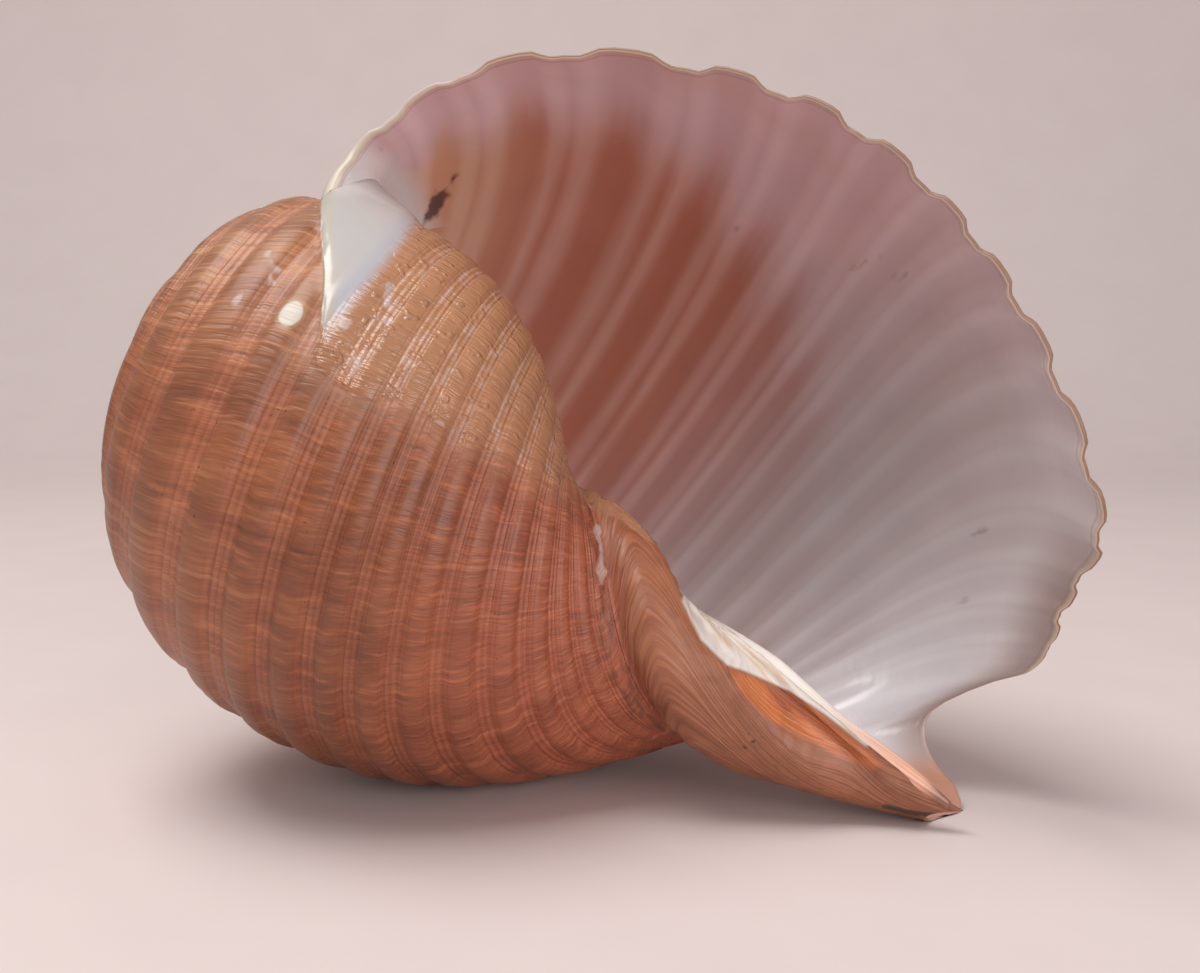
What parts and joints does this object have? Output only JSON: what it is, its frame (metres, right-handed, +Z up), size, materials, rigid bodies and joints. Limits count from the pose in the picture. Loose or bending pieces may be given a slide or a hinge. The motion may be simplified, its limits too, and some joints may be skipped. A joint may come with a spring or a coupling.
{
  "type": "tun shell",
  "caption": "Large thin-walled tun shell lying on its side: round ribbed body whorl, low stepped spire, wide scalloped mouth and a short twisted siphonal end.",
  "frame": {"origin": "on the surface the shell lies on, under the middle of its box", "axes": "+Z up from that surface; +X from the spire towards the siphonal tip, along the longest side of the box; -Y towards the side the mouth looks at"},
  "size_m": [0.19, 0.1303, 0.1503],
  "materials": {
    "shell": "satin"
  },
  "bodies": {
    "root": {"shell": "shell"}
  },
  "joints": []
}
